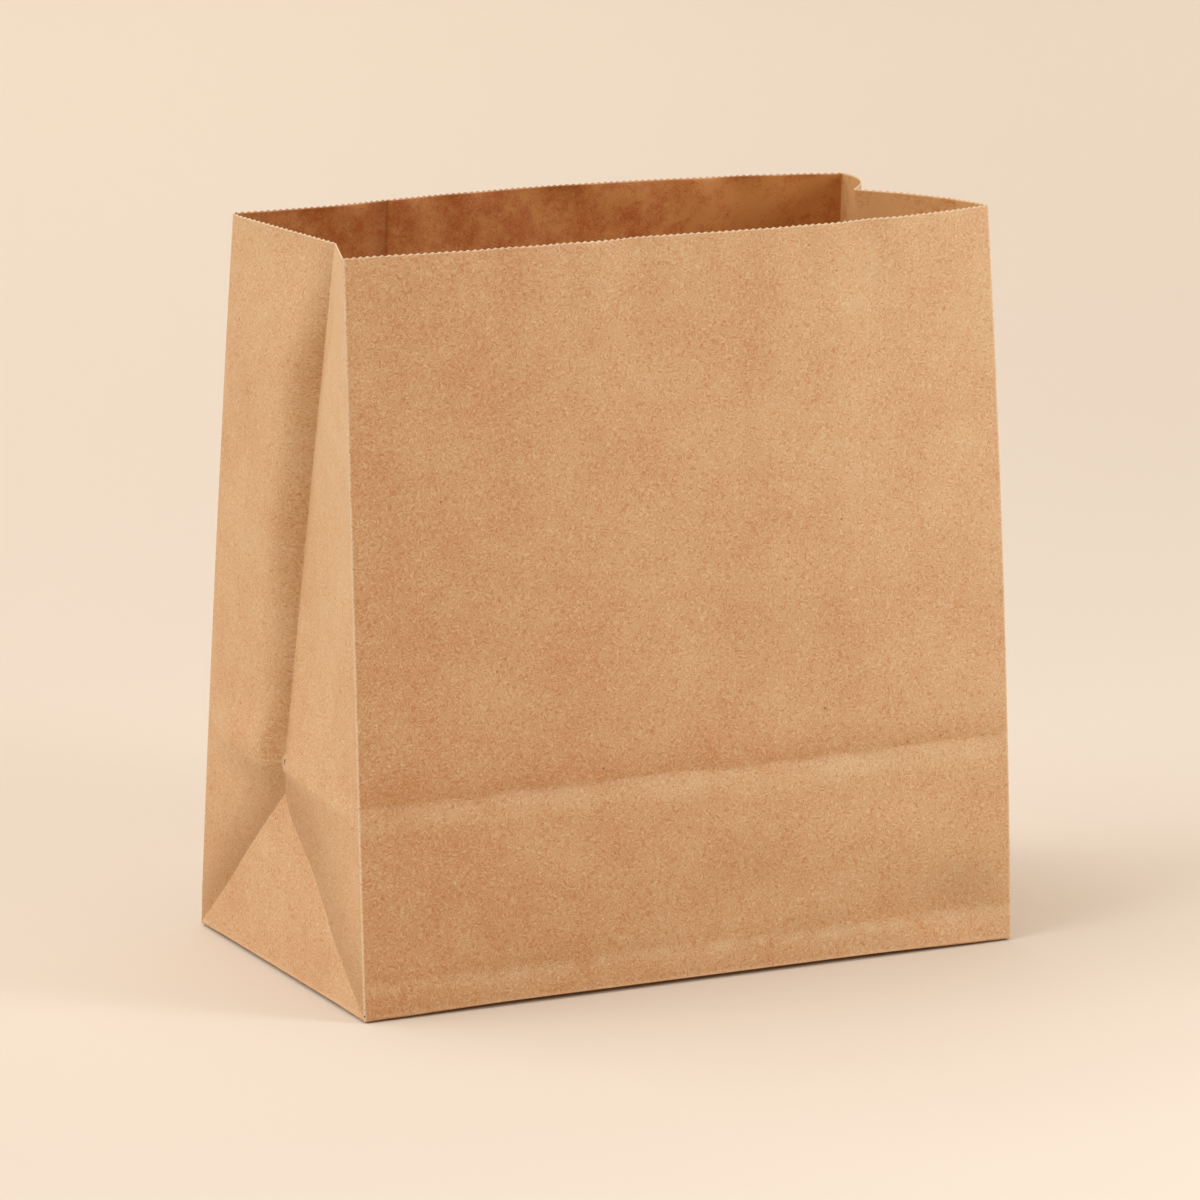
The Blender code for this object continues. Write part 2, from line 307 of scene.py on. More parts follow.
def gussetColumns(cells):
    # the same over a gusset, with closer columns beside its middle fold too
    near = np.array([paper["foldRound"], 3 * paper["foldRound"]]) / paper["depth"]
    half = cells // 2
    first = np.arange(1, half) / cells
    return np.concatenate([[0], near, first, 0.5 - near[::-1], [0.5], 0.5 + near, 0.5 + first,
                           1 - near[::-1]])


def backColumns(cells):
    # a wide panel with the two edges of the glued lap, and no even column close to them
    step = paper["ply"] / paper["width"]
    lap = np.array([paper["lapStart"] - step, paper["lapStart"], paper["lapEnd"], paper["lapEnd"] + step])
    even = panelColumns(cells)
    clear = np.abs(even[:, None] - lap[None, :]).min(axis=1) > 0.3 / cells
    return np.sort(np.concatenate([even[clear], lap]))


def lapShare(across):
    # 1 on the glued lap, 0 beside it
    start = paper["lapStart"] - 1e-9
    return ((across >= start) & (across <= paper["lapEnd"] + 1e-9)).astype(float)


def lapLift(across):
    # the outer ply starts a ply's height proud and sinks to flush over the lap
    part = (paper["lapEnd"] - across) / (paper["lapEnd"] - paper["lapStart"])
    return paper["ply"] * part * lapShare(across)


panels = [
    {"place": panelPoint("frontLeft", "frontRight", swells["front"], -1, paper["seed"]),
     "across": panelColumns(paper["panelTeeth"]), "wide": True, "flip": False},
    {"place": gussetPoint("right", paper["seed"] + 20),
     "across": gussetColumns(paper["gussetTeeth"]), "wide": False, "flip": False},
    {"place": panelPoint("backRight", "backLeft", swells["back"], 1, paper["seed"] + 40),
     "across": backColumns(paper["panelTeeth"]), "wide": True, "flip": False},
    {"place": gussetPoint("left", paper["seed"] + 60),
     "across": gussetColumns(paper["gussetTeeth"]), "wide": False, "flip": True},
]


def paperRows():
    # heights of the wall rows: one for each column of the triangles, so that the
    # diagonal folds run through the corners of the cells
    half = paper["depth"] / 2
    columns = gussetColumns(paper["gussetTeeth"])
    toFold = columns[columns <= 0.5 + 1e-9] * 2
    triangle = toFold[toFold * half > paper["triangleStart"]] * paper["triangle"]
    near = np.array(paper["creaseRows"])
    around = paper["crease"] + np.concatenate([-near[::-1], [0.0], near])
    rimRows = paper["height"] - np.array(paper["rimRows"])
    upper = np.linspace(around[-1], rimRows[0], paper["upperSteps"])[1:]
    return np.concatenate([[wallFoot], triangle, around, upper, rimRows[1:]])


wallTurn = -math.acos(1 - paper["rollBulge"] / paper["rollRadius"])
wallFoot = paper["rollRadius"] * (1 - math.sin(wallTurn))
rows = paperRows()
turns = math.pi / 2 + (wallTurn - math.pi / 2) * np.arange(paper["rollSteps"]) / paper["rollSteps"]


def panelLength(panel):
    return paper["width"] if panel["wide"] else paper["depth"]


def panelLift(fromCorner):
    # how far a wide panel's bottom edge is off the ground
    cornerLift, wideLift = relief["edgeLift"][:2]
    return cornerLift + (wideLift - cornerLift) * smooth(0.0, relief["liftRise"][0], fromCorner)


def sheetLevel(panel, fromCorner):
    # underside of the sheet at the bottom folds: flaps lie on the ground, gussets on the flaps
    if panel["wide"]:
        return panelLift(fromCorner)
    cornerLift, _, gussetLift = relief["edgeLift"]
    rise = gussetLift - cornerLift + 2 * pileStep
    return cornerLift + rise * smooth(0.0, relief["liftRise"][1], fromCorner)


def rollPoints(panel, across):
    # the bottom fold is rolled, from level below (turn 90 degrees) up to the wall, and
    # tighter beside the corner folds
    foot = panel["place"](across, np.zeros_like(across))[None]
    turn = turns[:, None]
    fromCorner = panelLength(panel) / 2 * (1 - np.abs(2 * across - 1))[None]
    bulge = paper["rollBulge"] * smooth(0.0, paper["rollStart"], fromCorner)
    least, start = paper["rollCorner"]
    share = least + (1 - least) * smooth(0.0, start, fromCorner)
    out = paper["rollRadius"] * (np.cos(turn) - 1) * share + bulge
    level = sheetLevel(panel, fromCorner)
    top = 2 * paper["ply"] + wallFoot
    x = foot[..., 0] * (1 + out / (paper["width"] / 2))
    y = foot[..., 1] * (1 + out / (paper["depth"] / 2))
    z = level + (top - level) * (1 - np.sin(turn)) / (1 - math.sin(wallTurn))
    return np.stack(np.broadcast_arrays(x, y, z), axis=-1)


def foldSoftened(grid, column, share):
    # a fold's own column drawn towards its neighbours, which rounds the fold
    count = grid.shape[1]
    middle = (grid[:, (column - 1) % count] + grid[:, (column + 1) % count]) / 2
    grid[:, column] += (middle - grid[:, column]) * share


def sawCut(part, teeth):
    # depth of the cut: a triangle wave, deepest at the ends of each tooth's cell
    return paper["toothDepth"] * np.abs(2 * np.mod(part * teeth, 1.0) - 1)


grids, rims, rimMiddles, lapWeights, paperU, middleU = [], [], [], [], [], []
totalU = 0.0
for panel in panels:
    across = panel["across"]
    middles = (across + np.append(across[1:], 1.0)) / 2
    own = 1 - across if panel["flip"] else across
    ownMiddle = 1 - middles if panel["flip"] else middles
    place = panel["place"]
    wall = place(own[None, :], rows[:, None])
    teeth = paper["panelTeeth"] if panel["wide"] else paper["gussetTeeth"]
    rim = place(own, paper["height"] - sawCut(across, teeth))
    rimMiddle = place(ownMiddle, paper["height"] - sawCut(middles, teeth))
    lap = np.zeros_like(across)
    if panel is panels[2]:
        lap = lapShare(across)
        wall[..., 1] += lapLift(across)
        rim[..., 1] += lapLift(across)
        rimMiddle[..., 1] += lapLift(middles)
    grids.append(np.concatenate([rollPoints(panel, own), wall]))
    rims.append(rim)
    rimMiddles.append(rimMiddle)
    lapWeights.append(lap)
    paperU.append(totalU + across * panelLength(panel))
    middleU.append(totalU + middles * panelLength(panel))
    totalU += panelLength(panel)

grid = np.concatenate(grids, axis=1)
rim = np.concatenate(rims)[None]
rimMiddle = np.concatenate(rimMiddles)
columnU = np.concatenate(paperU)
cellU = np.concatenate(middleU)
lapWeight = np.concatenate(lapWeights)
sizes = [len(panel["across"]) for panel in panels]
firsts = np.concatenate([[0], np.cumsum(sizes)[:-1]])
middleFolds = [firsts[1] + sizes[1] // 2, firsts[3] + sizes[3] // 2]
for column in firsts:
    foldSoftened(grid, int(column), paper["foldSoft"])
    foldSoftened(rim, int(column), paper["foldSoft"])
print("kraft bag: walls", grid.shape)


def strip(edge, inward, length, settle):
    # paper below a bottom fold, laid inward from the roll's lowest row; settle gives the
    # heights, and the run below the fold comes back with the points
    steps = (np.arange(paper["flapSteps"]) + 1) / paper["flapSteps"]
    part = np.concatenate([paper["flapRows"], steps])[:, None]
    run = length[None] * part
    points = edge[None] + inward * run[..., None]
    settle(points, run)
    return points[::-1], -run[::-1]


def flapStrip(edge, side):
    # trapezoid flap of a wide panel, folded over at 45 degrees at its ends
    fromCorner = paper["width"] / 2 - np.abs(edge[:, 0])
    length = np.clip(fromCorner, paper["flapLeast"], paper["flap"])

    def settle(points, run):
        # down from the lifted edge; the front flap climbs on the back flap
        points[..., 2] = edge[None, :, 2] * smooth(relief["liftReach"], 0.0, run)
        if side < 0:
            points[..., 2] += pileStep * smooth(*paper["flapClimb"], points[..., 1])
    return strip(edge, np.array([0, -side, 0]), length, settle)


def endStrip(edge, side):
    # gusset paper, flat on the flaps inside the bag
    length = np.full(len(edge), paper["flap"])

    def settle(points, run):
        # its own edge is lifted as well, and the flaps below carry its sides
        fromSide = paper["depth"] / 2 - np.abs(points[..., 1])
        nearSide = smooth(0, relief["liftRise"][1], fromSide)
        climb = smooth(0, paper["gussetClimb"], run)
        ownGap = (edge[None, :, 2] - 2 * pileStep * nearSide) * smooth(relief["liftReach"], 0.0, run)
        flapGap = panelLift(run) * smooth(relief["liftReach"], 0.0, fromSide)
        points[..., 2] = 2 * pileStep * np.maximum(nearSide, climb) + np.maximum(ownGap, flapGap)
        points[..., 1] *= 1 - paper["gussetNarrow"] * climb
    return strip(edge, np.array([-side, 0, 0]), length, settle)


farFromRim = 0.01


class SheetMesh:
    # collects whole grids of points and the faces between them, with paper coordinates
    def __init__(self):
        self.points, self.corners, self.sizes, self.u, self.v = [], [], [], [], []
        self.weights, self.rimDistance, self.count = [], [], 0

    def add(self, points, weight=0.0, distance=farFromRim):
        flat = points.reshape(-1, 3)
        self.points.append(flat)
        self.weights.append(np.broadcast_to(weight, points.shape[:-1]).reshape(-1))
        self.rimDistance.append(np.broadcast_to(distance, points.shape[:-1]).reshape(-1))
        index = self.count + np.arange(len(flat)).reshape(points.shape[:-1])
        self.count += len(flat)
        return index

    def faces(self, corners, u, v):
        # arrays with one row for each face and one column for each of its corners
        self.corners.append(corners.reshape(-1))
        self.sizes.append(np.full(len(corners), corners.shape[1]))
        self.u.append(u.reshape(-1))
        self.v.append(v.reshape(-1))

    def cells(self, index, u, v, split=None):
        # quads between neighbouring rows and columns; "split" gives the cells that a
        # diagonal fold crosses: 1 rising with the columns, -1 falling
        def around(a):
            return np.stack([a[:-1, :-1], a[:-1, 1:], a[1:, 1:], a[1:, :-1]], axis=-1).reshape(-1, 4)
        quads, us, vs = around(index), around(u), around(v)
        split = np.zeros(len(quads)) if split is None else split.reshape(-1)
        for kind, orders in ((0, [[0, 1, 2, 3]]), (1, [[0, 1, 2], [0, 2, 3]]), (-1, [[0, 1, 3], [1, 2, 3]])):
            chosen = split == kind
            for order in orders:
                self.faces(quads[chosen][:, order], us[chosen][:, order], vs[chosen][:, order])

    def build(self, name):
        mesh = bpy.data.meshes.new(name)
        points = np.concatenate(self.points)
        corners = np.concatenate(self.corners)
        sizes = np.concatenate(self.sizes)
        mesh.vertices.add(len(points))
        mesh.vertices.foreach_set("co", points.astype(np.float32).reshape(-1))
        mesh.loops.add(len(corners))
        mesh.loops.foreach_set("vertex_index", corners.astype(np.int32))
        mesh.polygons.add(len(sizes))
        mesh.polygons.foreach_set("loop_start", (np.cumsum(sizes) - sizes).astype(np.int32))
        mesh.update(calc_edges=True)
        layer = mesh.uv_layers.new(name="paper")
        uv = np.stack([np.concatenate(self.u), np.concatenate(self.v)], axis=-1)
        layer.data.foreach_set("uv", uv.astype(np.float32).reshape(-1))
        distance = mesh.attributes.new("rimDistance", "FLOAT", "POINT")
        distance.data.foreach_set("value", np.concatenate(self.rimDistance).astype(np.float32))
        return mesh


def wrapped(a, add=0.0):
    # repeats the first column after the last one
    return np.concatenate([a, a[:, :1] + add], axis=1)


sheet = SheetMesh()
level = np.arange(len(grid))[:, None]
wallIndex = sheet.add(grid, lapWeight[None, :] * (level > paper["rollSteps"]),
                      np.where(level == len(grid) - 1, paper["rimRows"][1], farFromRim))
# the paper's height at each row: a little below 0 over the roll
rollShare = 1 - np.arange(paper["rollSteps"]) / paper["rollSteps"]
rowV = np.concatenate([-paper["rollRadius"] * paper["rollPaper"] * rollShare, rows])
wallU = np.broadcast_to(columnU[None, :], wallIndex.shape)
wallV = np.broadcast_to(rowV[:, None], wallIndex.shape)

# cells that the diagonal folds cross, with a fold's line from corner to corner
foldMatch = 0.004
toFold = np.full(len(columnU), -1.0)
rising = np.zeros(len(columnU))
for k in (1, 3):
    span = slice(firsts[k], firsts[k] + sizes[k])
    toFold[span] = 1 - np.abs(2 * panels[k]["across"] - 1)
    rising[span] = np.where(panels[k]["across"] < 0.5 - 1e-9, 1, -1)
nextToFold = np.where(np.roll(toFold, -1) < 0, 0.0, np.roll(toFold, -1))
cellFold = np.where(toFold < 0, -1.0, (toFold + nextToFold) / 2)
rowMiddle = (rowV[:-1] + rowV[1:]) / 2 / paper["triangle"]
onFold = np.abs(rowMiddle[:, None] - cellFold[None, :]) < foldMatch
onFold &= (rowV[:-1] > 0)[:, None]
split = np.where(onFold, rising[None, :], 0)
sheet.cells(wrapped(wallIndex), wrapped(wallU, totalU), wrapped(wallV), split)

# the rim: a notch at each column and a tip in the middle of each cell
rimIndex = sheet.add(rim, lapWeight[None, :], 0.0)
tipIndex = sheet.add(rimMiddle[None], 0.0, 0.0)
below, notches = wrapped(wallIndex[-1:])[0], wrapped(rimIndex)[0]
endU = np.append(columnU, totalU)
toothCorners = np.stack([below[:-1], below[1:], notches[1:], tipIndex[0], notches[:-1]], axis=-1)
toothU = np.stack([endU[:-1], endU[1:], endU[1:], cellU, endU[:-1]], axis=-1)
toothV = np.broadcast_to(np.array([[rowV[-1]] * 2 + [paper["height"]] * 3]), toothU.shape)
sheet.faces(toothCorners, toothU, toothV)

# the bottom flaps, from corner to corner of the roll's lowest row
loop = np.append(np.arange(len(columnU)), 0)
for k, (builder, side) in enumerate(((flapStrip, -1), (endStrip, 1), (flapStrip, 1), (endStrip, -1))):
    span = loop[firsts[k]:firsts[k] + sizes[k] + 1]
    points, runV = builder(grid[0, span], side)
    index = np.concatenate([sheet.add(points), wallIndex[:1, span]])
    u = np.broadcast_to(endU[None, firsts[k]:firsts[k] + sizes[k] + 1], index.shape)
    v = np.concatenate([runV + rowV[0], np.full((1, len(span)), rowV[0])])
    sheet.cells(index, u, v)

mesh = sheet.build("kraft bag")
bag = bpy.data.objects.new("kraft_bag", mesh)
bpy.context.scene.collection.objects.link(bag)
mesh.shade_smooth()

# sharp along the diagonal folds, and along the middle folds above them
edgeEnds = np.empty(len(mesh.edges) * 2, np.int32)
mesh.edges.foreach_get("vertices", edgeEnds)
edgeEnds = edgeEnds.reshape(-1, 2)
vertexRow, vertexColumn = np.divmod(edgeEnds, len(columnU))
inWall = (edgeEnds < grid.shape[0] * len(columnU)).all(axis=1)
safeRow = np.minimum(vertexRow, grid.shape[0] - 1)
offFold = np.abs(rowV[safeRow] / paper["triangle"] - toFold[vertexColumn])
slanted = (vertexRow[:, 0] != vertexRow[:, 1]) & (vertexColumn[:, 0] != vertexColumn[:, 1])
upright = (vertexRow[:, 0] != vertexRow[:, 1]) & np.isin(vertexColumn, middleFolds).all(axis=1)
upright &= (rowV[safeRow] > paper["triangle"] - 1e-6).all(axis=1)
sharp = inWall & (upright | (slanted & (offFold < foldMatch).all(axis=1)))
mark = mesh.attributes.new("sharp_edge", "BOOLEAN", "EDGE")
mark.data.foreach_set("value", sharp)

lapped = bag.vertex_groups.new(name="lapped")
weights = np.concatenate(sheet.weights)
lapped.add(np.flatnonzero(weights > 0.5).tolist(), 1.0, "REPLACE")
wall = bag.modifiers.new("ply", "SOLIDIFY")
wall.thickness = 2 * paper["ply"]   # two plies on the lap and one elsewhere
wall.thickness_vertex_group = 0.5
wall.vertex_group = "lapped"
wall.offset = -1
wall.use_even_offset = True
print("kraft bag: sheet", len(mesh.vertices), "points,", int(sharp.sum()), "sharp edges")


class Signal:
    # one output of a shader node, with arithmetic that adds the nodes it needs
    def __init__(self, tree, output):
        self.tree, self.output = tree, output

    def make(self, kind, settings=None, inputs=None, out=0):
        node = self.tree.nodes.new(kind)
        for name, value in (settings or {}).items():
            setattr(node, name, value)
        for key, value in (inputs or {}).items():
            if isinstance(value, Signal):
                self.tree.links.new(value.output, node.inputs[key])
            else:
                node.inputs[key].default_value = value
        return Signal(self.tree, node.outputs[out])

    def math(self, operation, *others, first=None):
        values = [self if first is None else first, *others]
        return self.make("ShaderNodeMath", {"operation": operation}, dict(enumerate(values)))

    def __add__(self, other):
        return self.math("ADD", other)

    def __radd__(self, other):
        return self.math("ADD", self, first=other)

    def __sub__(self, other):
        return self.math("SUBTRACT", other)

    def __rsub__(self, other):
        return self.math("SUBTRACT", self, first=other)

    def __mul__(self, other):
        return self.math("MULTIPLY", other)

    def __rmul__(self, other):
        return self.math("MULTIPLY", self, first=other)

    def abs(self):
        return self.math("ABSOLUTE")

    def ramp(self, edge0, edge1, low=0.0, high=1.0):
        # smooth step from low at edge0 to high at edge1
        return self.make("ShaderNodeMapRange", {"interpolation_type": "SMOOTHSTEP"},
                         {"Value": self, "From Min": edge0, "From Max": edge1,
                          "To Min": low, "To Max": high})

    def scaled(self, vector):
        return self.make("ShaderNodeVectorMath", {"operation": "MULTIPLY"}, {0: self, 1: vector})

    def moved(self, vector):
        return self.make("ShaderNodeVectorMath", {"operation": "ADD"}, {0: self, 1: vector})

    def noise(self, scale, detail, roughness):
        return self.make("ShaderNodeTexNoise", {},
                         {"Vector": self, "Scale": scale, "Detail": detail, "Roughness": roughness})

    def parts(self):
        # x and y of a vector
        x = self.make("ShaderNodeSeparateXYZ", {}, {0: self})
        return x, Signal(self.tree, x.output.node.outputs[1])

    def colour(self, value):
        # one plain colour to start a mix from
        plain = self.make("ShaderNodeRGB")
        plain.output.default_value = value
        return plain

    def mixed(self, share, other):
        # share 0 is this colour and 1 is the other
        return self.make("ShaderNodeMix", {"data_type": "RGBA"}, {0: share, 6: self, 7: other}, out=2)


kraft = {
    "dark": (0.524, 0.238, 0.090, 1),
    "pale": (0.694, 0.506, 0.305, 1),
    # worn paper, and a painted highlight along the folds
    "wearAndHighlight": (0.800, 0.665, 0.490, 1),
    "cut": (0.780, 0.635, 0.455, 1),
    "fleck": (0.150, 0.075, 0.035, 1),
    # painted shade seen through a hole
    "holeShade": (0.100, 0.042, 0.016, 1),
    "paintedFoldShade": (0.330, 0.165, 0.055, 1),  # painted shade of folded-in paper that little light reaches
    # noise scales, in cycles per metre of paper
    "clouds": 24.0,
    "blotches": 75.0,
    "flecks": 125.0,
    "fleckSize": (0.085, 0.045),  # of a fleck's cell
    "fleckChance": (0.93, 0.94),  # only cells above this have one
    "fleckShare": 0.7,
    "fibreFields": 185.0,       # curled fibres follow the level lines of a noise
    "fibreLines": 9.0,          # level lines in its whole range
    "clumps": 210.0,
    "fibreBreaks": 400.0,
    "fibreGaps": (0.35, 0.65),
    "wearBreaks": 850.0,
    "grain": 1300.0,
    # how far each one moves the tone
    "fibreShare": 0.30,
    "grainShare": 0.60,
    "clumpShare": 0.22,
    "blotchShare": 0.32,
    "cloudShare": 0.50,
    "creaseLightShadeShare": 0.24,          # painted light and shade along the cross crease of the wide panels
    "bandDrop": 0.0055,         # painted light below it, and painted shade above it over a reach
    "bandReach": (0.0085, 0.001),
    "overReach": (0.020, 0.003),
    # painted highlight along the hem crease: its share, height and reaches
    "hemHighlightShare": 0.34,
    "hemHeight": 0.0130,
    "hemReach": (0.0040, 0.0008),
    "paintedLight": (0.22, 0.10),      # painted light: paler to the right of the front panel, and upwards
    "frontHalfHighlight": 0.22,      # painted highlight of the left gusset's front half, towards the rim
    "frontHalfHeights": (0.10, 0.30),  # between which it comes in
    # how far each place goes to the painted shade colour
    "wingShade": 0.40,          # above the diagonal folds
    "wingReach": 0.042,
    "valleyShade": 0.22,        # behind the left gusset's middle fold
    "valleyReach": (0.020, 0.001),
    "dentShade": 0.12,          # in the front panel's lower right dent
    "dentSpot": (0.282, 0.026, 1 / 45, 1 / 70),  # its place on the paper and half sizes
    # half widths of worn lines, with a painted highlight on the gussets' folds and the cross crease, in
    # metres, and the wear on them
    "cornerWear": (0.0011, 0.95),
    "foldWearAndHighlight": (0.0008, 0.4),
    "crossWearAndHighlight": (0.0008, 0.12, 0.45),  # on all the panels, and more in the gussets
    "wearWhole": 0.0001,        # whole wear within this
    "cornerBreaks": (0.34, 0.52),  # the noise breaks the wear below these values
    "foldBreaks": (0.46, 0.66),
    "crossBreaks": (0.46, 0.70),
    "pinch": (0.00060, 0.0022),  # half sizes of the slit above each gusset's triangle
    "pinchDrop": 0.0014,        # below the cross crease
    "footHole": (0.0027, 0.00062),  # height and half size, on the front left fold
    "holeShare": 0.85,
    "holeRimShare": 0.7,        # worn rim around a hole
    "cutDepth": (0.00065, 0.00040),  # pale cut edge with torn fibres and a painted highlight where it catches the light, from the rim
    "cutShare": 0.9,
    "roughness": 0.62,
    "roughGrain": 0.1,
    "bump": 0.00003,
}
kraftInside = {
    # painted shade over the whole inside
    "insideLightShadeTint": (0.86, 0.54, 0.25, 1),
    "rightLightTint": (1.04, 0.85, 0.60, 1),  # painted light in the right gusset
    "rightHeights": (0.05, 0.22),  # between which that tint comes in
    "shade": (0.370, 0.170, 0.065, 1),  # painted shadow beside the lap's edge
    "shadeReach": 0.016,
    "shadeShare": 0.45,
    "clumpShare": 1.3,          # added to the outside's
    "blotchShare": 1.9,
    "cloudShare": 0.6,
    "rightPaintedLight": 0.55,          # painted light on the right part of the back panel
    "rightPlace": (0.575, 0.525),  # from here to there on the paper
    "cutShare": 0.35,
}


def paperFibres(flat, shift):
    # short curled strokes: level lines of one noise, broken up by another
    field = flat.moved(shift).noise(kraft["fibreFields"], 2.0, 0.5)
    lines = (field * (2 * math.pi * kraft["fibreLines"])).math("SINE")
    breaks = flat.moved((shift[1], shift[2], shift[0])).noise(kraft["fibreBreaks"], 1.0, 0.5)
    return lines * breaks.ramp(*kraft["fibreGaps"])


def oval(x, y, halfX, halfY):
    # square of the distance from the middle of an oval, 1 on its edge
    return (x * (1 / halfX)).math("POWER", 2.0) + (y * (1 / halfY)).math("POWER", 2.0)


class PaperPlace:
    # where a point lies on the flat paper, from the distance to each fold
    def __init__(self, u, v):
        width, self.half = paper["width"], paper["depth"] / 2
        self.u, self.v = u, v
        self.leftFold = 2 * width + 3 * self.half
        self.cornerFolds = [0.0, width, width + 2 * self.half, 2 * width + 2 * self.half, totalU]
        self.toMiddle = (u - (width + self.half)).abs().math("MINIMUM", (u - self.leftFold).abs())
        self.inGusset = self.toMiddle.ramp(self.half + 0.0003, self.half - 0.0003)
        slope = math.atan2(paper["triangle"], self.half)
        self.overDiagonal = v * math.cos(slope) - (self.half - self.toMiddle) * math.sin(slope)
        sag = (self.half - self.toMiddle) * (gussets["creaseSag"][1] / self.half) + gussets["creaseSag"][0]
        self.overCross = v - paper["crease"] + sag * self.inGusset


def paperWearAndHighlight(place):
    # how worn the paper is at the corner folds, and its wear and painted highlight along the gussets' folds
    # and the cross crease
    corner = None
    for fold in place.cornerFolds:
        line = (place.u - fold).abs().ramp(kraft["cornerWear"][0], kraft["wearWhole"])
        corner = line if corner is None else corner.math("MAXIMUM", line)
    above = place.v.ramp(paper["crease"] - 0.010, paper["crease"] - 0.006)
    middle = place.toMiddle.ramp(kraft["foldWearAndHighlight"][0], kraft["wearWhole"]) * above
    diagonal = place.overDiagonal.abs().ramp(kraft["foldWearAndHighlight"][0], kraft["wearWhole"])
    diagonal = diagonal * place.inGusset * (1.0 - above)
    cross = place.overCross.abs().ramp(kraft["crossWearAndHighlight"][0], kraft["wearWhole"])
    return corner, middle.math("MAXIMUM", diagonal), cross


def paperHoles(place):
    # pinch holes where the gusset's folds meet, and at the bottom of the front left fold: the holes, painted
    # dark as the shade seen through them, and their worn rims
    height, size = kraft["footHole"]
    toFront = place.u.math("MINIMUM", (place.u - totalU).abs())
    foot = oval(toFront, place.v - height, size, size)
    pinch = oval(place.toMiddle, place.overCross + kraft["pinchDrop"], *kraft["pinch"])
    spot = pinch.math("MINIMUM", foot)
    return spot.ramp(1.2, 0.6), spot.ramp(5.0, 2.0)


def paperPaintedShade(place):
    # painted shade: how far the paper goes to a darker colour where little light reaches it, above the
    # diagonal folds, behind the left gusset's middle fold and in the lower right dent
    wing = place.overDiagonal.ramp(kraft["wingReach"], 0.0) * place.overDiagonal.ramp(-0.0002, 0.0004)
    wing = wing * place.inGusset * place.overCross.ramp(0.002, -0.006)
    fromFold = place.leftFold - place.u
    valley = fromFold.ramp(*kraft["valleyReach"]) * fromFold.ramp(-0.0002, 0.0002)
    valley = valley * place.overCross.ramp(0.0, 0.020)
    x, height, halfX, halfY = kraft["dentSpot"]
    dent = oval(place.u - x, place.v - height, halfX, halfY).ramp(1.6, 0.0)
    return wing * kraft["wingShade"] + valley * kraft["valleyShade"] + dent * kraft["dentShade"]


def paperPaintedLight(place):
    # painted light: paler upwards and to the right of the front panel, and a painted highlight on the left
    # gusset's front half
    sideways, upward = kraft["paintedLight"]
    paintedLight = ((place.u * (1 / paper["width"])).math("MINIMUM", 1.0) - 0.5) * sideways
    paintedLight = paintedLight + (place.v * (1 / paper["height"]) - 0.5) * upward
    frontHalf = (place.u - place.leftFold).ramp(0.0, 0.001) * place.v.ramp(*kraft["frontHalfHeights"])
    return paintedLight + frontHalf * kraft["frontHalfHighlight"]


def insideLightAndShade(colour, place):
    # painted shade over the inside, which darkens and browns it: painted shadow beside the lap's edge, and
    # painted light in the right gusset towards the rim
    lapEdge = place.u - (paper["width"] * (1 + paper["lapEnd"]) + paper["depth"])
    beside = lapEdge.ramp(kraftInside["shadeReach"], 0.0) * lapEdge.ramp(-0.0001, 0.0001)
    colour = colour.mixed(beside * kraftInside["shadeShare"], kraftInside["shade"])
    rightEnd = paper["width"] + paper["depth"]
    rightSide = place.u.ramp(rightEnd + 0.0005, rightEnd - 0.0005)
    rightSide = rightSide * place.v.ramp(*kraftInside["rightHeights"])
    insideLightShadeTint = place.u.colour(kraftInside["insideLightShadeTint"]).mixed(rightSide, kraftInside["rightLightTint"])
    return colour.make("ShaderNodeMix", {"data_type": "RGBA", "blend_type": "MULTIPLY"},
                       {0: 1.0, 6: colour, 7: insideLightShadeTint}, out=2)


